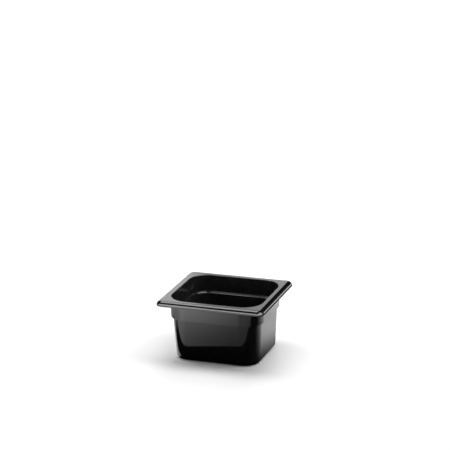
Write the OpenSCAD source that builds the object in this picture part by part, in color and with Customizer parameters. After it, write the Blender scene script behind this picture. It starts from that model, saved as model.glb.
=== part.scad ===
// One-sixth size food pan, 100 mm deep: an open container moulded in one piece.
// Origin: centre of the base, on the surface that the pan stands on. +Z up, X along the longer rim.

/* [Overall] */
// Length of the rim along X
rim_x = 176; // [150:1:352]
// Width of the rim along Y
rim_y = 162; // [140:1:264]
// Height from the foot to the top of the rim
pan_h = 100; // [80:1:200]

/* [Rim] */
// Radius of the rim's outer corners, seen from above
rim_corner_r = 10; // [9:0.5:16]
// Height of the turned-down rim edge
rim_h = 7.7; // [7.7:0.1:10]
// Radius of the roll from the flange down to the rim edge
rim_roll_r = 7; // [5:0.1:7]
// Thickness of the flange and of its turned-down lip
rim_t = 2.6; // [2.4:0.1:3]
// Radius on the outer lower edge of the lip
lip_out_r = 0.7; // [0.4:0.1:0.7]
// Radius on the inner lower edge of the lip
lip_in_r = 0.4; // [0.3:0.05:0.6]

/* [Collar] */
// Distance from the rim's outer edge to the outer face of the collar
overhang = 11.5; // [11:0.1:18]
// Distance from the rim's outer edge to the centres of the body's corners
corner_inset = 44.5; // [40:0.5:60]
// Height from the shoulder up to the top of the rim
collar_h = 32.5; // [22:0.5:45]
// Slope of the collar's faces, in degrees
collar_draft = 1; // [0.5:0.1:2]
// Radius on the inner edge of the mouth
mouth_edge_r = 0.7; // [0.6:0.1:1.8]
// Radius in the corner below the flange
flange_root_r = 1.2; // [0.6:0.1:1.6]

/* [Well] */
// Thickness of the walls
wall_t = 1.9; // [1.8:0.1:3]
// Distance that the well steps in below the collar
shoulder_step = 3.6; // [3:0.1:5]
// Height of material in the shoulder, from its underside to the ledge inside
shoulder_t = 5; // [3:0.1:7]
// Radius on the outer edge of the shoulder
shoulder_r = 0.4; // [0.2:0.1:1]
// Radius in the corner below the shoulder
shoulder_root_r = 0.3; // [0.2:0.1:0.6]
// Radius in the corner where the collar meets the ledge inside
ledge_root_r = 0.4; // [0.2:0.1:0.5]
// Radius from the ledge inside down to the well
ledge_edge_r = 2.4; // [0.4:0.1:2.5]
// Slope of the well's faces, in degrees
well_draft = 3; // [1.5:0.1:4]

/* [Base] */
// Thickness of the floor
floor_t = 2.4; // [2:0.1:4]
// Outer radius between the base and the walls
base_r = 5; // [4:0.5:9]
// Inner radius between the floor and the walls
floor_r = 5; // [3:0.5:9]
// Width of the flat foot that the pan stands on
foot_w = 7; // [4:0.5:12]
// Height of the panel inside the foot above the ground
panel_rise = 0.6; // [0.3:0.1:1.2]

/* [Hidden] */
$fn = 96;
pan_colour = "#1b1b1c";

// Heights
flange_z = pan_h - rim_t;
lip_z = pan_h - rim_h;
shoulder_z = pan_h - collar_h;
ledge_z = shoulder_z + shoulder_t;

// Centre-to-centre spans of the corners of the body and of the rim
body_span = [rim_x - 2 * corner_inset, rim_y - 2 * corner_inset];
rim_span = [rim_x - 2 * rim_corner_r, rim_y - 2 * rim_corner_r];

// Insets from the rim's outer edge to the seams where the flat flange meets the collar and the rim edge,
// each a little way past the rounding beside it, and how far the flat pieces reach across their seams
seam_margin = 0.4;
seam_lap = seam_margin / 2;
collar_seam = overhang - flange_root_r - seam_margin;
roll_seam = rim_roll_r + seam_margin;

// Distances from a corner's centre to the outer faces of the collar and the well at height z
function collar_out(z) = corner_inset - overhang - (flange_z - z) * tan(collar_draft);
function well_out(z) = collar_out(shoulder_z) - shoulder_step - (shoulder_z - z) * tan(well_draft);
// Distances from a corner's centre to the edge of the flat foot and to the seam between floor and walls
foot_out = well_out(0) - base_r;
floor_seam = min(foot_out, well_out(floor_t) - wall_t - floor_r) - seam_margin;

// Wall from the foot to the flange, as [distance from the corner's centre, height, edge radius]
wall_section = [
    [floor_seam, 0, 0],
    [well_out(0), 0, base_r],
    [well_out(shoulder_z), shoulder_z, shoulder_root_r],
    [collar_out(shoulder_z), shoulder_z, shoulder_r],
    [collar_out(flange_z), flange_z, flange_root_r],
    [corner_inset - collar_seam, flange_z, 0],
    [corner_inset - collar_seam, pan_h, 0],
    [collar_out(pan_h) - wall_t, pan_h, mouth_edge_r],
    [collar_out(ledge_z) - wall_t, ledge_z, ledge_root_r],
    [well_out(ledge_z) - wall_t, ledge_z, ledge_edge_r],
    [well_out(floor_t) - wall_t, floor_t, floor_r],
    [floor_seam, floor_t, 0]
];

// Turned-down rim edge, in the same form, from the centre of a rim corner
rim_section = [
    [rim_corner_r - roll_seam, flange_z, 0],
    [rim_corner_r - rim_t, flange_z, rim_roll_r - rim_t],
    [rim_corner_r - rim_t, lip_z, lip_in_r],
    [rim_corner_r, lip_z, lip_out_r],
    [rim_corner_r, pan_h, rim_roll_r],
    [rim_corner_r - roll_seam, pan_h, 0]
];

// Rectangle about the origin in the form of a section: half sizes grow from a corner span by r
function corner_box(span, r) = [
    for (s = [[-1, -1], [1, -1], [1, 1], [-1, 1]])
        [s[0] * (span[0] / 2 + r), s[1] * (span[1] / 2 + r), r]
];

function xy(p) = [p[0], p[1]];
function unit(v) = v / norm(v);
function side(a, b) = a[0] * b[1] - a[1] * b[0];

// Sliver between the corner at p and a circle of radius r that touches both of its edges
module corner_sliver(p, before, after, r) {
    to_before = unit(before - p);
    to_after = unit(after - p);
    half_angle = acos(to_before * to_after) / 2;
    reach = r / tan(half_angle);
    centre = p + unit(to_before + to_after) * r / sin(half_angle);
    difference() {
        polygon([p, p + to_before * reach, centre, p + to_after * reach]);
        translate(centre) circle(r);
    }
}

// Polygon through the points of a section, with each corner rounded by its own radius
module rounded_outline(points) {
    last = len(points) - 1;
    corners = [for (i = [0:last]) if (points[i][2] > 0) i];
    function before(i) = xy(points[i == 0 ? last : i - 1]);
    function after(i) = xy(points[i == last ? 0 : i + 1]);
    function turn(i) = side(xy(points[i]) - before(i), after(i) - xy(points[i]));
    difference() {
        union() {
            polygon([for (p = points) xy(p)]);
            for (i = corners)
                if (turn(i) < 0) corner_sliver(xy(points[i]), before(i), after(i), points[i][2]);
        }
        for (i = corners)
            if (turn(i) > 0) corner_sliver(xy(points[i]), before(i), after(i), points[i][2]);
    }
}

// Section carried round a rectangle: a quarter turn at each corner and a straight run after it
module carried_round(span, section) {
    signs = [[1, 1], [-1, 1], [-1, -1], [1, -1]];
    for (k = [0:3])
        translate([signs[k][0] * span[0] / 2, signs[k][1] * span[1] / 2, 0])
            rotate([0, 0, 90 * k]) {
                rotate_extrude(angle = 90) rounded_outline(section);
                rotate([90, 0, 0]) linear_extrude(span[1 - k % 2]) rounded_outline(section);
            }
}

// Flat flange between the collar and the rim edge
module flange() {
    translate([0, 0, flange_z])
        linear_extrude(rim_t)
            difference() {
                rounded_outline(corner_box(rim_span, rim_corner_r - roll_seam + seam_lap));
                rounded_outline(corner_box(body_span, corner_inset - collar_seam - seam_lap));
            }
}

// Floor with its underside raised inside the foot
module floor_slab() {
    difference() {
        linear_extrude(floor_t) rounded_outline(corner_box(body_span, floor_seam + seam_lap));
        translate([0, 0, -panel_rise])
            linear_extrude(2 * panel_rise) rounded_outline(corner_box(body_span, foot_out - foot_w));
    }
}

module pan() {
    color(pan_colour)
        union() {
            floor_slab();
            carried_round(body_span, wall_section);
            flange();
            carried_round(rim_span, rim_section);
        }
}

pan();
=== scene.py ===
"""Dresses the one-sixth size deli food pan: one glossy black moulding on a plain pale studio floor."""

import logging
import math
from collections.abc import Callable, Iterator, Sequence
from contextlib import contextmanager
from dataclasses import dataclass
from enum import Enum
from itertools import pairwise
from typing import Any

import bmesh
import bpy
from mathutils import Matrix, Vector


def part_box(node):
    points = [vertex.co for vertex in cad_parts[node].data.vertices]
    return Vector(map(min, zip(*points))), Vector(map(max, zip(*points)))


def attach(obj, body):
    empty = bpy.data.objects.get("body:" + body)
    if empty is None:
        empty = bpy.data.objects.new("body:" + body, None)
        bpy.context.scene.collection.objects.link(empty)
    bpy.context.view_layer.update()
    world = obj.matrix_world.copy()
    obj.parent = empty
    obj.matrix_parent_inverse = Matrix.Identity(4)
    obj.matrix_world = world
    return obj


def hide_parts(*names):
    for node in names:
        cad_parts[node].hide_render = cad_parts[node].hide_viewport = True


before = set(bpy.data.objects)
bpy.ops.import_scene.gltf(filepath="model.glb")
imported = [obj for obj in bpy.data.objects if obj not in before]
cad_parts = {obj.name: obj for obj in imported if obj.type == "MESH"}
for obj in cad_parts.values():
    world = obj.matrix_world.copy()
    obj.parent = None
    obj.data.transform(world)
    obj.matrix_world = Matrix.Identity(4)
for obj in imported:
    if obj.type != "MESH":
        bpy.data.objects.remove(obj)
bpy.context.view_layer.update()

MM = 0.001
NEAR = 0.01 * MM

# Sockets of a Mix node that mixes colours
MIX_FROM = 6
MIX_TO = 7
MIX_RESULT = 2

log = logging.getLogger("food_pan")


class Element(Enum):
    """Kind of mesh element that an edit-mode pick selects."""

    VERTS = "VERT"
    EDGES = "EDGE"
    FACES = "FACE"


class SeenBy(Enum):
    """Which rays meet a stage piece."""

    EVERYTHING = "everything"
    REFLECTIONS = "reflections"


@contextmanager
def editing(piece: bpy.types.Object) -> Iterator[None]:
    """Opens one piece alone in edit mode, and goes back to object mode afterwards.

    Args:
        piece: The mesh object to edit.
    """
    bpy.ops.object.select_all(action="DESELECT")
    piece.select_set(True)
    bpy.context.view_layer.objects.active = piece
    bpy.ops.object.mode_set(mode="EDIT")
    yield
    bpy.ops.object.mode_set(mode="OBJECT")


def pick(piece: bpy.types.Object, kind: Element, test: Callable[[Any], bool]) -> int:
    """Selects, in edit mode, only the elements that pass a test.

    Args:
        piece: The mesh object that is open in edit mode.
        kind: Which elements are looked at.
        test: Says of one bmesh element whether it is wanted.

    Returns:
        How many elements are selected.
    """
    bpy.ops.mesh.select_mode(type=kind.value)
    bpy.ops.mesh.select_all(action="DESELECT")
    shape = bmesh.from_edit_mesh(piece.data)
    elements = {Element.VERTS: shape.verts, Element.EDGES: shape.edges, Element.FACES: shape.faces}[kind]
    wanted = [element for element in elements if test(element)]
    for element in wanted:
        element.select_set(True)
    shape.select_flush_mode()
    bmesh.update_edit_mesh(piece.data)
    return len(wanted)


def add_plane(name: str, size: float, place: Vector) -> bpy.types.Object:
    """Adds a square plane whose place is in its mesh.

    Args:
        name: Name of the new object.
        size: Length of a side.
        place: Centre of the plane.

    Returns:
        The new object, at the origin.
    """
    bpy.ops.object.select_all(action="DESELECT")
    bpy.ops.mesh.primitive_plane_add(size=size, location=place)
    piece = bpy.context.object
    piece.name = name
    piece.data.name = name
    bpy.ops.object.transform_apply(location=True, rotation=True, scale=True)
    return piece


class Board:
    """A node tree under construction, with short calls that add and wire its nodes."""

    def __init__(self, tree: bpy.types.NodeTree) -> None:
        """Clears a node tree to build on.

        Args:
            tree: The material's, world's or group's tree.
        """
        self.tree = tree
        tree.nodes.clear()

    def add(self, kind: str, settings: dict[str, Any] | None = None, **sockets: Any) -> bpy.types.Node:
        """Adds a node.

        Args:
            kind: Type of the node.
            settings: Properties of the node itself.
            **sockets: Value of, or output wired to, each input socket, with _ for a space in its name.

        Returns:
            The new node.
        """
        node = self.tree.nodes.new(kind)
        for key, value in (settings or {}).items():
            setattr(node, key, value)
        for key, value in sockets.items():
            self.feed(node.inputs[key.replace("_", " ")], value)
        return node

    def feed(self, socket: bpy.types.NodeSocket, value: Any) -> None:
        """Sets an input socket to a value, or wires an output to it.

        Args:
            socket: The input socket.
            value: The value, or the output socket.
        """
        if isinstance(value, bpy.types.NodeSocket):
            self.tree.links.new(value, socket)
        else:
            socket.default_value = value

    def math(self, operation: str, *values: Any, clamp: bool = False) -> bpy.types.NodeSocket:
        """Adds a Math node.

        Args:
            operation: Name of the operation.
            *values: Its inputs, in order.
            clamp: Whether the result is held between 0 and 1.

        Returns:
            The result's socket.
        """
        node = self.tree.nodes.new("ShaderNodeMath")
        node.operation = operation
        node.use_clamp = clamp
        for socket, value in zip(node.inputs, values):
            self.feed(socket, value)
        return node.outputs["Value"]

    def ramp(self, value: Any, low: float, high: float, start: float, end: float) -> bpy.types.NodeSocket:
        """Maps a range of values smoothly onto another.

        Args:
            value: The input.
            low: Input at which the ramp starts.
            high: Input at which the ramp ends.
            start: Output up to low.
            end: Output from high on.

        Returns:
            The result's socket.
        """
        node = self.add("ShaderNodeMapRange", {"interpolation_type": "SMOOTHSTEP"}, Value=value)
        for name, number in {"From Min": low, "From Max": high, "To Min": start, "To Max": end}.items():
            node.inputs[name].default_value = number
        return node.outputs["Result"]

    def object_place(self) -> bpy.types.NodeSocket:
        """Returns the socket of the Object coordinates."""
        return self.add("ShaderNodeTexCoord").outputs["Object"]


def new_group(name: str, inputs: dict[str, float], outputs: Sequence[str]) -> tuple[Board, Any, Any]:
    """Starts a shader node group with number sockets.

    Args:
        name: Name of the group.
        inputs: Name and default value of each input.
        outputs: Names of the outputs.

    Returns:
        The board to build on, the group's input node and its output node.
    """
    tree = bpy.data.node_groups.new(name, "ShaderNodeTree")
    for key, value in inputs.items():
        socket = tree.interface.new_socket(key, in_out="INPUT", socket_type="NodeSocketFloat")
        socket.default_value = value
    for key in outputs:
        tree.interface.new_socket(key, in_out="OUTPUT", socket_type="NodeSocketFloat")
    board = Board(tree)
    return board, board.add("NodeGroupInput"), board.add("NodeGroupOutput")


def moulded_skin_group() -> bpy.types.NodeTree:
    """Builds the skin of a moulding: slow mottling of its gloss and a fine ripple of its surface.

    Returns:
        The node group, with outputs Mottle and Ripple, both from 0 to 1.
    """
    board, given, result = new_group(
        "Moulded skin", {"Mottle Scale": 30.0, "Ripple Scale": 400.0}, ["Mottle", "Ripple"]
    )
    place = board.object_place()
    mottle = board.add(
        "ShaderNodeTexNoise", Vector=place, Scale=given.outputs["Mottle Scale"], Detail=4.0, Roughness=0.6
    )
    ripple = board.add(
        "ShaderNodeTexNoise", Vector=place, Scale=given.outputs["Ripple Scale"], Detail=2.0, Roughness=0.5
    )
    board.feed(result.inputs["Mottle"], mottle.outputs["Fac"])
    board.feed(result.inputs["Ripple"], ripple.outputs["Fac"])
    return board.tree


# Noise level above which a rub mark shows where marks don't spread, and how sharp its edge is
MARK_LEVEL = 0.74
MARK_EDGE = 12.0
# Small turns, in radians, that keep the marks from lying exactly along the axes
MARK_ROLL_STEP = 0.05
MARK_PITCH = 0.11
MARK_YAW = 0.07
MARK_YAW_STEP = 0.1


def rub_marks_group() -> bpy.types.NodeTree:
    """Builds fine rub marks: short hairlines that run along X, along Y and upright.

    Returns:
        The node group, with the output Mask, 1 in a mark.
    """
    board, given, result = new_group(
        "Rub marks", {"Length Scale": 18.0, "Width Scale": 1400.0, "Spread": 0.12}, ["Mask"]
    )
    place = board.object_place()
    length = given.outputs["Length Scale"]
    width = given.outputs["Width Scale"]
    low = board.math("SUBTRACT", MARK_LEVEL, given.outputs["Spread"])
    masks = []
    for turn, along in enumerate("XYZ"):
        scales = {axis: length if axis == along else width for axis in "XYZ"}
        stretch = board.add("ShaderNodeCombineXYZ", **scales)
        scaled = board.add("ShaderNodeVectorMath", {"operation": "MULTIPLY"})
        tilt = (MARK_ROLL_STEP * turn, MARK_PITCH, MARK_YAW - MARK_YAW_STEP * turn)
        tilted = board.add("ShaderNodeMapping", Vector=place, Rotation=tilt)
        board.feed(scaled.inputs[0], tilted.outputs["Vector"])
        board.feed(scaled.inputs[1], stretch.outputs["Vector"])
        streak = board.add("ShaderNodeTexNoise", Vector=scaled.outputs["Vector"], Scale=1.0, Detail=1.0)
        above = board.math("SUBTRACT", streak.outputs["Fac"], low)
        masks.append(board.math("MULTIPLY", above, MARK_EDGE, clamp=True))
    both = board.math("MAXIMUM", masks[0], masks[1])
    board.feed(result.inputs["Mask"], board.math("MAXIMUM", both, masks[2]))
    return board.tree


@dataclass(frozen=True)
class MouldedBlack:
    """Black polycarbonate as it comes from a mould, with a gloss and the marks of handling."""

    name: str
    deep: tuple[float, float, float, float]
    pale: tuple[float, float, float, float]
    gloss: float
    gloss_spread: float
    mark_roughness: float
    mark_spread: float
    ripple_height: float
    mark_depth: float
    index: float = 1.58
    mottle_low: float = 0.3
    mottle_high: float = 0.7

    def build(self, skin: bpy.types.NodeTree, marks: bpy.types.NodeTree) -> bpy.types.Material:
        """Builds the material.

        Args:
            skin: The moulded skin group.
            marks: The rub marks group.

        Returns:
            The new material.
        """
        material = bpy.data.materials.new(self.name)
        material.use_nodes = True
        board = Board(material.node_tree)
        mould = board.add("ShaderNodeGroup", {"node_tree": skin})
        rubs = board.add("ShaderNodeGroup", {"node_tree": marks}, Spread=self.mark_spread)
        mask = rubs.outputs["Mask"]
        tint = board.add("ShaderNodeMix", {"data_type": "RGBA"})
        board.feed(tint.inputs["Factor"], mould.outputs["Mottle"])
        board.feed(tint.inputs[MIX_FROM], self.deep)
        board.feed(tint.inputs[MIX_TO], self.pale)
        sheen = board.ramp(
            mould.outputs["Mottle"],
            self.mottle_low,
            self.mottle_high,
            self.gloss,
            self.gloss + self.gloss_spread,
        )
        rough = board.math("MULTIPLY_ADD", mask, self.mark_roughness, sheen)
        ripple = board.math("MULTIPLY", mould.outputs["Ripple"], self.ripple_height)
        height = board.math("MULTIPLY_ADD", mask, -self.mark_depth, ripple)
        bump = board.add("ShaderNodeBump", Height=height, Strength=1.0, Distance=1.0)
        shader = board.add(
            "ShaderNodeBsdfPrincipled",
            Base_Color=tint.outputs[MIX_RESULT],
            Roughness=rough,
            IOR=self.index,
            Normal=bump.outputs["Normal"],
        )
        board.add("ShaderNodeOutputMaterial", Surface=shader.outputs["BSDF"])
        return material


POLISHED_SKIN = MouldedBlack(
    name="black_polycarbonate",
    deep=(0.003, 0.003, 0.0033, 1.0),
    pale=(0.006, 0.006, 0.0064, 1.0),
    gloss=0.045,
    gloss_spread=0.03,
    mark_roughness=0.12,
    mark_spread=0.04,
    ripple_height=0.0006 * MM,
    mark_depth=0.0008 * MM,
)

# Finish of the inside: rougher from scouring, and paler than the outside, which is painted light that
# lifts the dark inside
SCOURED_WELL_PAINTED_LIGHT = MouldedBlack(
    name="black_polycarbonate_scoured_painted_light",
    deep=(0.014, 0.014, 0.0144, 1.0),
    pale=(0.024, 0.024, 0.0244, 1.0),
    gloss=0.16,
    gloss_spread=0.03,
    mark_roughness=0.18,
    mark_spread=0.045,
    ripple_height=0.0006 * MM,
    mark_depth=0.0008 * MM,
)

SCUFFED_FOOT = MouldedBlack(
    name="black_polycarbonate_scuffed",
    deep=(0.006, 0.006, 0.0064, 1.0),
    pale=(0.014, 0.014, 0.0145, 1.0),
    gloss=0.22,
    gloss_spread=0.14,
    mark_roughness=0.25,
    mark_spread=0.1,
    ripple_height=0.004 * MM,
    mark_depth=0.004 * MM,
)


@dataclass(frozen=True)
class Corner:
    """One corner of a section: how far out, how high, and the radius that rounds it."""

    out: float
    up: float
    radius: float = 0.0

    @property
    def place(self) -> Vector:
        """Returns the corner as a vector in the section's own plane."""
        return Vector((self.out, 0.0, self.up))


@dataclass
class FoodPan:
    """The pan: turned-down rim, flange, collar, stacking shoulder, tapered well and foot in one wall."""

    half_x: float
    half_y: float
    height: float
    rim_corner: float = 10.0 * MM
    rim_drop: float = 7.7 * MM
    rim_roll: float = 7.0 * MM
    rim_wall: float = 2.6 * MM
    lip_outer_edge: float = 0.7 * MM
    lip_inner_edge: float = 0.4 * MM
    overhang: float = 11.5 * MM
    corner_inset: float = 44.5 * MM
    collar_drop: float = 32.5 * MM
    collar_slope: float = math.radians(1.0)
    mouth_edge: float = 0.7 * MM
    flange_root: float = 1.2 * MM
    wall: float = 1.9 * MM
    shoulder_step: float = 3.6 * MM
    shoulder_wall: float = 5.0 * MM
    shoulder_edge: float = 0.4 * MM
    shoulder_root: float = 0.3 * MM
    ledge_root: float = 0.4 * MM
    ledge_edge: float = 2.4 * MM
    well_slope: float = math.radians(3.0)
    floor_wall: float = 2.4 * MM
    base_edge: float = 5.0 * MM
    floor_edge: float = 5.0 * MM
    foot_width: float = 7.0 * MM
    panel_rise: float = 0.6 * MM
    panel_edge: float = 0.25 * MM
    seam_margin: float = 0.4 * MM
    gate_radius: float = 2.4 * MM
    gate_drop: float = 0.35 * MM
    rubbed_lean: float = 0.1
    corner_steps: int = 48
    edge_step: float = math.radians(9.0)
    least_edge_steps: int = 3

    @property
    def flange_up(self) -> float:
        """Returns the height of the flange's underside."""
        return self.height - self.rim_wall

    @property
    def lip_up(self) -> float:
        """Returns the height of the lip's lower edge."""
        return self.height - self.rim_drop

    @property
    def shoulder_up(self) -> float:
        """Returns the height of the shoulder's underside."""
        return self.height - self.collar_drop

    @property
    def ledge_up(self) -> float:
        """Returns the height of the ledge inside the shoulder."""
        return self.shoulder_up + self.shoulder_wall

    def collar_out(self, up: float) -> float:
        """Returns the distance from a body corner's centre to the collar's outer face at a height."""
        return self.corner_inset - self.overhang - (self.flange_up - up) * math.tan(self.collar_slope)

    def well_out(self, up: float) -> float:
        """Returns the distance from a body corner's centre to the well's outer face at a height."""
        fall = (self.shoulder_up - up) * math.tan(self.well_slope)
        return self.collar_out(self.shoulder_up) - self.shoulder_step - fall

    @property
    def body_centre(self) -> Vector:
        """Returns the centre of the body's back right corner."""
        return Vector((self.half_x - self.corner_inset, self.half_y - self.corner_inset, 0.0))

    @property
    def rim_centre(self) -> Vector:
        """Returns the centre of the rim's back right corner."""
        return Vector((self.half_x - self.rim_corner, self.half_y - self.rim_corner, 0.0))

    def outer_section(self) -> list[Corner]:
        """Lays out the outside of the wall.

        Returns:
            The corners, from the panel under the base to the underside of the flange.
        """
        foot_in = self.well_out(0.0) - self.base_edge - self.foot_width
        seam = self.corner_inset - self.overhang + self.flange_root + self.seam_margin
        return [
            Corner(foot_in - self.foot_width / 2, self.panel_rise),
            Corner(foot_in, self.panel_rise, self.panel_edge),
            Corner(foot_in, 0.0, self.panel_edge),
            Corner(self.well_out(0.0), 0.0, self.base_edge),
            Corner(self.well_out(self.shoulder_up), self.shoulder_up, self.shoulder_root),
            Corner(self.collar_out(self.shoulder_up), self.shoulder_up, self.shoulder_edge),
            Corner(self.collar_out(self.flange_up), self.flange_up, self.flange_root),
            Corner(seam, self.flange_up),
        ]

    def inner_section(self) -> list[Corner]:
        """Lays out the inside of the wall.

        Returns:
            The corners, from the top of the flange to the floor.
        """
        seam = self.corner_inset - self.overhang + self.flange_root + self.seam_margin
        floor_out = self.well_out(self.floor_wall) - self.wall
        return [
            Corner(seam, self.height),
            Corner(self.collar_out(self.height) - self.wall, self.height, self.mouth_edge),
            Corner(self.collar_out(self.ledge_up) - self.wall, self.ledge_up, self.ledge_root),
            Corner(self.well_out(self.ledge_up) - self.wall, self.ledge_up, self.ledge_edge),
            Corner(floor_out, self.floor_wall, self.floor_edge),
            Corner(floor_out - self.floor_edge - self.seam_margin, self.floor_wall),
        ]

    def rim_section(self) -> list[Corner]:
        """Lays out the turned-down edge of the rim.

        Returns:
            The corners, from the underside of the flange round to its top.
        """
        seam = self.rim_corner - self.rim_roll - self.seam_margin
        inside = self.rim_corner - self.rim_wall
        return [
            Corner(seam, self.flange_up),
            Corner(inside, self.flange_up, self.rim_roll - self.rim_wall),
            Corner(inside, self.lip_up, self.lip_inner_edge),
            Corner(self.rim_corner, self.lip_up, self.lip_outer_edge),
            Corner(self.rim_corner, self.height, self.rim_roll),
            Corner(seam, self.height),
        ]

    def draw(self, name: str, section: Sequence[Corner], centre: Vector) -> bpy.types.Object:
        """Draws a section as a line of edges to the right of a corner's centre, and rounds its corners.

        Args:
            name: Name of the new object.
            section: The corners, in order.
            centre: Centre of the pan's corner that the section is measured from.

        Returns:
            An object that holds the line alone.
        """
        line = add_plane(name, self.wall, centre + section[0].place)
        with editing(line):
            pick(line, Element.VERTS, lambda vert: True)
            bpy.ops.mesh.merge(type="CENTER")
            for here, there in pairwise(section):
                bpy.ops.mesh.extrude_vertices_move(
                    TRANSFORM_OT_translate={"value": there.place - here.place}
                )
            for before, corner, after in zip(section, section[1:], section[2:]):
                to_before = before.place - corner.place
                to_after = after.place - corner.place
                opening = to_before.angle(to_after)
                spot = centre + corner.place
                pick(line, Element.VERTS, lambda vert: (vert.co - spot).length < NEAR)
                bpy.ops.mesh.bevel(
                    offset=corner.radius / math.tan(opening / 2),
                    offset_type="OFFSET",
                    segments=max(self.least_edge_steps, round((math.pi - opening) / self.edge_step)),
                    affect="VERTICES",
                    clamp_overlap=False,
                )
        return line

    def sweep(self, line: bpy.types.Object, centre: Vector) -> None:
        """Carries a section round a quarter turn and straight on to both mirror planes.

        Args:
            line: The drawn section.
            centre: Centre of the corner that it turns about.
        """
        with editing(line):
            bpy.ops.mesh.select_all(action="SELECT")
            bpy.ops.mesh.spin(
                steps=self.corner_steps, angle=-math.pi / 2, center=centre, axis=(0.0, 0.0, 1.0)
            )
            for axis, run in ((1, (0.0, -centre.y, 0.0)), (0, (-centre.x, 0.0, 0.0))):
                pick(
                    line,
                    Element.EDGES,
                    lambda edge: all(abs(vert.co[axis] - centre[axis]) < NEAR for vert in edge.verts),
                )
                bpy.ops.mesh.extrude_region_move(TRANSFORM_OT_translate={"value": run})

    @staticmethod
    def is_seam(edge: bmesh.types.BMEdge, up: float) -> bool:
        """Says whether an edge is an open one at a height, and not one on a mirror plane.

        Args:
            edge: The edge.
            up: The height.

        Returns:
            Whether it is.
        """
        level = all(abs(vert.co.z - up) < NEAR for vert in edge.verts)
        mirrored = any(all(abs(vert.co[axis]) < NEAR for vert in edge.verts) for axis in (0, 1))
        return edge.is_boundary and level and not mirrored

    def close_flange(self, quarter: bpy.types.Object) -> None:
        """Joins rim and wall by the flat top and the underside of the flange.

        Args:
            quarter: The swept sections of a quarter of the pan, in one object.
        """
        with editing(quarter):
            for up in (self.height, self.flange_up):
                pick(quarter, Element.EDGES, lambda edge: self.is_seam(edge, up))
                bpy.ops.mesh.bridge_edge_loops()

    def complete(self, quarter: bpy.types.Object) -> None:
        """Mirrors a quarter of the pan into the whole, and merges its seams.

        Args:
            quarter: The quarter, which is the active object.
        """
        mirror = quarter.modifiers.new("whole", "MIRROR")
        mirror.use_axis = (True, True, False)
        mirror.merge_threshold = NEAR
        bpy.ops.object.modifier_apply(modifier=mirror.name)
        with editing(quarter):
            bpy.ops.mesh.select_all(action="SELECT")
            bpy.ops.mesh.remove_doubles(threshold=NEAR)

    def close_base(self, shell: bpy.types.Object) -> None:
        """Fills the floor inside, and the panel under the base with the mark of the mould's gate on it.

        Args:
            shell: The pan, open at the floor and at the panel.
        """
        with editing(shell):
            pick(shell, Element.EDGES, lambda edge: self.is_seam(edge, self.floor_wall))
            bpy.ops.mesh.edge_face_add()
            around = pick(shell, Element.EDGES, lambda edge: edge.is_boundary)
            bpy.ops.mesh.primitive_circle_add(
                vertices=around, radius=self.gate_radius, location=(0.0, 0.0, self.panel_rise)
            )
            pick(shell, Element.EDGES, lambda edge: edge.is_boundary or edge.is_wire)
            bpy.ops.mesh.bridge_edge_loops()
            pick(shell, Element.EDGES, lambda edge: edge.is_boundary)
            bpy.ops.mesh.edge_face_add()
            drop = (0.0, 0.0, -self.gate_drop)
            bpy.ops.mesh.extrude_region_move(TRANSFORM_OT_translate={"value": drop})
            bpy.ops.mesh.inset(thickness=self.gate_drop)
            bpy.ops.mesh.select_all(action="SELECT")
            bpy.ops.mesh.normals_make_consistent(inside=False)

    def build(self) -> bpy.types.Object:
        """Models the pan.

        Returns:
            The finished mesh object, at the origin.
        """
        lines = []
        for name, section, centre in (
            ("pan_moulding", self.outer_section(), self.body_centre),
            ("inner_wall", self.inner_section(), self.body_centre),
            ("rim_edge", self.rim_section(), self.rim_centre),
        ):
            line = self.draw(name, section, centre)
            self.sweep(line, centre)
            lines.append(line)
        bpy.ops.object.select_all(action="DESELECT")
        for line in lines:
            line.select_set(True)
        shell = lines[0]
        bpy.context.view_layer.objects.active = shell
        bpy.ops.object.join()
        self.close_flange(shell)
        self.complete(shell)
        self.close_base(shell)
        bpy.ops.object.shade_smooth()
        weighted = shell.modifiers.new("flat faces stay flat", "WEIGHTED_NORMAL")
        bpy.ops.object.modifier_apply(modifier=weighted.name)
        return shell

    def dress(self, shell: bpy.types.Object) -> None:
        """Gives the outside and the ledge's edge their polish, scours the inside with a paler colour that
        is painted light, and scuffs the foot.

        Args:
            shell: The finished mesh object.
        """
        skin = moulded_skin_group()
        marks = rub_marks_group()
        finishes = (POLISHED_SKIN, SCOURED_WELL_PAINTED_LIGHT, SCUFFED_FOOT)
        for finish in finishes:
            shell.data.materials.append(finish.build(skin, marks))
        with editing(shell):
            for finish, test in ((SCOURED_WELL_PAINTED_LIGHT, self.is_scoured_painted_light), (SCUFFED_FOOT, self.is_foot)):
                pick(shell, Element.FACES, test)
                shell.active_material_index = finishes.index(finish)
                bpy.ops.object.material_slot_assign()

    def is_scoured_painted_light(self, face: bmesh.types.BMFace) -> bool:
        """Says whether a face gets the scoured finish, whose paler colour is painted light: inner walls,
        ledge and floor, and not the ledge's rubbed edge.

        Args:
            face: The face.

        Returns:
            Whether it is.
        """
        middle = face.calc_center_median()
        within = max(abs(middle.x) - self.half_x, abs(middle.y) - self.half_y) < -self.overhang
        below_ledge = self.ledge_up - middle.z
        rubbed = 0.0 < below_ledge < self.ledge_edge and face.normal.z > self.rubbed_lean
        below_mouth = middle.z < self.height - self.mouth_edge / 2
        return within and below_mouth and face.normal.z > 0.0 and not rubbed

    def is_foot(self, face: bmesh.types.BMFace) -> bool:
        """Says whether a face belongs to the foot or to the panel inside it."""
        return max(vert.co.z for vert in face.verts) < self.panel_rise + NEAR


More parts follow.
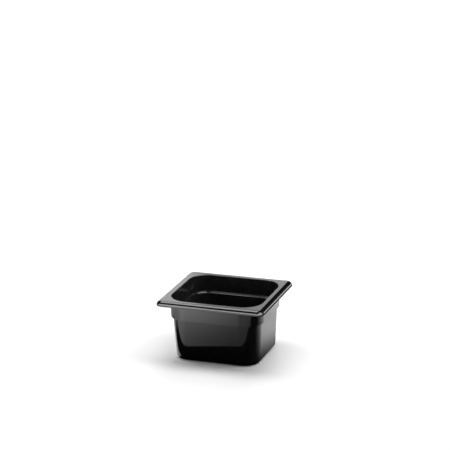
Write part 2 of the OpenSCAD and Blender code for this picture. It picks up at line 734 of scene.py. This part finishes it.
@dataclass(frozen=True)
class PaleFloor:
    """Plain matt white floor, which the camera sees a little lifted towards white."""

    name: str = "pale_floor"
    colour: tuple[float, float, float, float] = (0.97, 0.97, 0.97, 1.0)
    lift: float = 0.06

    def build(self) -> bpy.types.Material:
        """Builds the material.

        Returns:
            The new material.
        """
        material = bpy.data.materials.new(self.name)
        material.use_nodes = True
        board = Board(material.node_tree)
        matt = board.add("ShaderNodeBsdfDiffuse", Color=self.colour)
        seen = board.add("ShaderNodeLightPath").outputs["Is Camera Ray"]
        lifted = board.add("ShaderNodeEmission", Strength=board.math("MULTIPLY", seen, self.lift))
        both = board.add("ShaderNodeAddShader")
        board.feed(both.inputs[0], matt.outputs["BSDF"])
        board.feed(both.inputs[1], lifted.outputs["Emission"])
        board.add("ShaderNodeOutputMaterial", Surface=both.outputs["Shader"])
        return material


@dataclass(frozen=True)
class Fade:
    """A smooth change of glow along one axis, from one end of a span in millimetres to the other."""

    axis: str
    span: tuple[float, float]
    glow: tuple[float, float]


@dataclass(frozen=True)
class Glow:
    """A surface whose glow is the product of its fades."""

    name: str
    fades: tuple[Fade, ...]

    def build(self) -> bpy.types.Material:
        """Builds the material.

        Returns:
            The new material.
        """
        material = bpy.data.materials.new(self.name)
        material.use_nodes = True
        board = Board(material.node_tree)
        split = board.add("ShaderNodeSeparateXYZ", Vector=board.object_place())
        strength: Any = 1.0
        for fade in self.fades:
            start, end = fade.span
            part = board.ramp(split.outputs[fade.axis], start * MM, end * MM, *fade.glow)
            strength = board.math("MULTIPLY", strength, part)
        light = board.add("ShaderNodeEmission", Strength=strength)
        board.add("ShaderNodeOutputMaterial", Surface=light.outputs["Emission"])
        return material


@dataclass(frozen=True)
class Card:
    """A glowing studio card, in millimetres: level, or standing where its corners have the same y.

    The corners have its lowest and highest x, y and z before it is turned about the pan, by an angle in
    degrees as seen from above.
    """

    name: str
    low: tuple[float, float, float]
    high: tuple[float, float, float]
    fades: tuple[Fade, ...]
    turn: float = 0.0

    def build(self) -> bpy.types.Object:
        """Puts up the card.

        Returns:
            The card, at the origin.
        """
        low = Vector([length * MM for length in self.low])
        high = Vector([length * MM for length in self.high])
        size = high - low
        card = add_plane(self.name, 1.0, Vector((0.0, 0.0, 0.0)))
        if size.y < NEAR:
            card.data.transform(Matrix.Rotation(math.pi / 2, 4, "X"))
        card.data.transform(Matrix.Diagonal((size.x, max(size.y, MM), max(size.z, MM), 1.0)))
        card.data.transform(Matrix.Translation((low + high) / 2))
        card.data.transform(Matrix.Rotation(math.radians(self.turn), 4, "Z"))
        card.data.materials.append(Glow(self.name, self.fades).build())
        return card


# Heights of the cards on the floor, in millimetres, one a hair above the next
FLOOR_CARD = -0.1
OVER_CARD = -0.05
TOP_CARD = -0.025

# Reach of the cards on the floor, and the front and left edges of the dark zone around the pan, in
# millimetres, and the turn of that zone in degrees
REACH = 1500.0
SHADE_FRONT = -121.0
SHADE_LEFT = -160.0
SHADE_TURN = -13.0

CARDS = (
    Card(
        "front_card",
        low=(-REACH, -REACH, FLOOR_CARD),
        high=(REACH, SHADE_FRONT, FLOOR_CARD),
        turn=SHADE_TURN,
        fades=(
            Fade("X", span=(-180.0, 30.0), glow=(2.3, 0.45)),
            Fade("Y", span=(-300.0, -100.0), glow=(1.3, 0.55)),
        ),
    ),
    Card(
        "side_card",
        low=(SHADE_LEFT, SHADE_FRONT, FLOOR_CARD),
        high=(REACH, REACH, FLOOR_CARD),
        turn=SHADE_TURN,
        fades=(
            Fade("X", span=(55.0, 100.0), glow=(0.15, 1.0)),
            Fade("Y", span=(-60.0, 120.0), glow=(0.0, 1.3)),
            Fade("Y", span=(150.0, 300.0), glow=(1.0, 1.7)),
        ),
    ),
    Card(
        "fade_card",
        low=(-480.0, SHADE_FRONT, FLOOR_CARD),
        high=(SHADE_LEFT, 140.0, FLOOR_CARD),
        turn=SHADE_TURN,
        fades=(Fade("X", span=(-330.0, -140.0), glow=(1.08, 0.0)),),
    ),
    Card(
        "left_card",
        low=(-REACH, -92.5, OVER_CARD),
        high=(-28.0, REACH, OVER_CARD),
        turn=-30.0,
        fades=(
            Fade("Y", span=(-30.0, 80.0), glow=(1.4, 0.55)),
            Fade("Y", span=(160.0, 270.0), glow=(1.0, 0.5)),
        ),
    ),
    Card(
        "key_wall",
        low=(-400.0, -335.0, 110.0),
        high=(150.0, -335.0, 320.0),
        turn=SHADE_TURN,
        fades=(Fade("X", span=(-130.0, -95.0), glow=(6.0, 2.0)),),
    ),
    Card(
        "lip_card",
        low=(-110.0, -108.0, 100.0),
        high=(80.0, -108.0, 117.0),
        fades=(Fade("Z", span=(100.0, 117.0), glow=(5.5, 6.0)),),
    ),
    Card(
        "corner_card",
        low=(-45.0, -141.0, 100.0),
        high=(45.0, -141.0, 117.0),
        turn=47.0,
        fades=(Fade("X", span=(80.0, 130.0), glow=(9.0, 3.0)),),
    ),
    Card(
        "back_card",
        low=(-140.0, 80.0, TOP_CARD),
        high=(80.0, REACH, TOP_CARD),
        fades=(Fade("X", span=(-140.0, 80.0), glow=(0.4, 0.84)),),
    ),
    Card(
        "back_wall",
        low=(-1500.0, 1800.0, 0.0),
        high=(-440.0, 1800.0, 1500.0),
        fades=(
            Fade("X", span=(-770.0, -680.0), glow=(1.3, 0.6)),
            Fade("X", span=(-660.0, -500.0), glow=(1.0, 1.5)),
            Fade("Z", span=(0.0, 1500.0), glow=(2.4, 0.5)),
        ),
    ),
    Card(
        "back_shade",
        low=(-1500.0, 1790.0, 0.0),
        high=(-780.0, 1790.0, 600.0),
        fades=(Fade("Z", span=(0.0, 600.0), glow=(0.7, 1.4)),),
    ),
    Card(
        "gap_card",
        low=(168.0, 150.0, OVER_CARD),
        high=(REACH, REACH, OVER_CARD),
        fades=(Fade("Y", span=(150.0, REACH), glow=(0.05, 0.05)),),
    ),
    Card(
        "right_wall",
        low=(450.0, 1800.0, 0.0),
        high=(1600.0, 1800.0, 440.0),
        fades=(Fade("Z", span=(0.0, 440.0), glow=(2.5, 3.0)),),
    ),
    Card(
        "top_card",
        low=(-1400.0, -150.0, 2500.0),
        high=(-500.0, 2200.0, 2500.0),
        fades=(Fade("Y", span=(-150.0, 2200.0), glow=(5.2, 4.6)),),
    ),
    Card(
        "side_wall",
        low=(-800.0, -1000.0, 630.0),
        high=(800.0, -1000.0, 2800.0),
        turn=62.0,
        fades=(Fade("Z", span=(800.0, 1500.0), glow=(7.0, 5.0)),),
    ),
)

# Radius of the tent, in millimetres, and its faint glow
TENT_RADIUS = 5000.0
TENT_GLOW = Glow("tent", (Fade("Z", span=(0.0, TENT_RADIUS), glow=(0.015, 0.01)),))


def heading(turn: float, lift: float) -> Vector:
    """Gives a direction seen from the pan.

    Args:
        turn: Angle in degrees from the front (-Y) towards the right (+X).
        lift: Angle in degrees above the floor.

    Returns:
        The unit vector.
    """
    around = math.radians(turn)
    above = math.radians(lift)
    level = math.cos(above)
    return Vector((math.sin(around) * level, -math.cos(around) * level, math.sin(above)))


@dataclass(frozen=True)
class Softbox:
    """A rectangular studio light that faces the pan, in metres, with its direction in degrees."""

    name: str
    turn: float
    lift: float
    width: float
    height: float
    glow: float
    distance: float = 5.0

    def build(self, aim: Vector) -> bpy.types.Object:
        """Places the light.

        Args:
            aim: The point that it faces.

        Returns:
            The light object.
        """
        lamp = bpy.data.lights.new(self.name, "AREA")
        lamp.shape = "RECTANGLE"
        lamp.size = self.width
        lamp.size_y = self.height
        lamp.energy = self.glow * math.pi * self.width * self.height
        light = bpy.data.objects.new(self.name, lamp)
        bpy.context.scene.collection.objects.link(light)
        light.location = aim + self.distance * heading(self.turn, self.lift)
        light.rotation_euler = (aim - light.location).to_track_quat("-Z", "Y").to_euler()
        light.visible_camera = False
        light.visible_glossy = False
        return light


SOFTBOXES = (
    Softbox("top_light", turn=180.0, lift=82.0, width=7.8, height=2.2, glow=4.0),
    Softbox("back_light", turn=-172.0, lift=34.0, width=2.4, height=5.4, glow=3.2),
    Softbox("left_light", turn=-104.0, lift=28.0, width=3.0, height=3.0, glow=2.6),
    Softbox("right_light", turn=104.0, lift=28.0, width=3.0, height=3.0, glow=2.8),
)


@dataclass
class Studio:
    """Floor, cards, tent, lights, world and camera around the pan."""

    aim: Vector
    floor_size: float = 12.0
    floor_drop: float = 0.3 * MM
    tent_radius: float = TENT_RADIUS * MM
    tent_foot: float = -0.05
    tent_segments: int = 48
    tent_rings: int = 24
    ambient: float = 0.045
    sensor: float = 36.0
    lens: float = 136.0
    camera_turn: float = 19.52
    camera_lift: float = 16.83
    camera_distance: float = 2646.0 * MM
    camera_aim: Vector = Vector((1.3 * MM, 0.0, 208.2 * MM))
    camera_roll: float = math.radians(-0.96)

    def set_seen(self, piece: bpy.types.Object, seen: SeenBy) -> None:
        """Limits the rays that meet a stage piece.

        Args:
            piece: The floor, a card or the tent.
            seen: Which rays meet it.
        """
        if seen is SeenBy.REFLECTIONS:
            piece.visible_camera = False
            piece.visible_diffuse = False
            piece.visible_shadow = False
            piece.visible_transmission = False
            piece.visible_volume_scatter = False

    def add_floor(self) -> None:
        """Lays the floor, a hair below the foot of the pan."""
        floor = add_plane("floor", self.floor_size, Vector((0.0, 0.0, -self.floor_drop)))
        floor.data.materials.append(PaleFloor().build())
        self.set_seen(floor, SeenBy.EVERYTHING)

    def add_cards(self) -> None:
        """Puts up the cards that the pan's polish mirrors, on the floor and around the pan."""
        for card in CARDS:
            self.set_seen(card.build(), SeenBy.REFLECTIONS)
            log.info("card %s", card.name)

    def add_tent(self) -> None:
        """Puts up the dark tent that the pan's polish mirrors between the cards."""
        bpy.ops.object.select_all(action="DESELECT")
        bpy.ops.mesh.primitive_uv_sphere_add(
            segments=self.tent_segments, ring_count=self.tent_rings, radius=self.tent_radius
        )
        tent = bpy.context.object
        tent.name = "tent"
        with editing(tent):
            bpy.ops.mesh.select_all(action="SELECT")
            bpy.ops.mesh.bisect(
                plane_co=(0.0, 0.0, self.tent_foot),
                plane_no=(0.0, 0.0, 1.0),
                clear_inner=True,
                clear_outer=False,
            )
        tent.data.materials.append(TENT_GLOW.build())
        self.set_seen(tent, SeenBy.REFLECTIONS)

    def add_lights(self) -> None:
        """Places the softboxes, which light the floor and the pan and show in no reflection."""
        for softbox in SOFTBOXES:
            softbox.build(self.aim)
            log.info("light %s: radiance %.1f", softbox.name, softbox.glow)

    def add_world(self) -> None:
        """Makes a white world for the camera and for reflections, and a softer one for lighting."""
        world = bpy.data.worlds.new("studio")
        world.use_nodes = True
        bpy.context.scene.world = world
        board = Board(world.node_tree)
        path = board.add("ShaderNodeLightPath")
        seen = board.math("MAXIMUM", path.outputs["Is Camera Ray"], path.outputs["Is Glossy Ray"])
        shown = board.math("MAXIMUM", seen, path.outputs["Is Transmission Ray"])
        strength = board.ramp(shown, 0.0, 1.0, self.ambient, 1.0)
        sky = board.add("ShaderNodeBackground", Color=(1.0, 1.0, 1.0, 1.0), Strength=strength)
        board.add("ShaderNodeOutputWorld", Surface=sky.outputs["Background"])

    def add_camera(self) -> None:
        """Sets the camera up at the photograph's angle and distance."""
        lens = bpy.data.cameras.new("camera")
        lens.sensor_width = self.sensor
        lens.lens = self.lens
        camera = bpy.data.objects.new("camera", lens)
        bpy.context.scene.collection.objects.link(camera)
        towards = heading(self.camera_turn, self.camera_lift)
        camera.location = self.camera_aim + self.camera_distance * towards
        level = (self.camera_aim - camera.location).to_track_quat("-Z", "Y").to_matrix().to_4x4()
        rolled = level @ Matrix.Rotation(self.camera_roll, 4, "Z")
        camera.rotation_euler = rolled.to_euler()
        bpy.context.scene.camera = camera

    def build(self) -> None:
        """Sets up the whole studio."""
        self.add_camera()
        self.add_floor()
        self.add_tent()
        self.add_cards()
        self.add_lights()
        self.add_world()
        bpy.context.scene.view_settings.view_transform = "Standard"


def main() -> None:
    """Builds the pan and the studio."""
    logging.basicConfig(level=logging.INFO, format="%(message)s")
    _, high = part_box("pan")
    pan = FoodPan(half_x=high.x, half_y=high.y, height=high.z)
    shell = pan.build()
    pan.dress(shell)
    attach(shell, "root")
    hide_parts("pan")
    log.info("%s: %d faces", shell.name, len(shell.data.polygons))
    Studio(aim=Vector((0.0, 0.0, pan.height))).build()


if __name__ == "__main__":
    main()
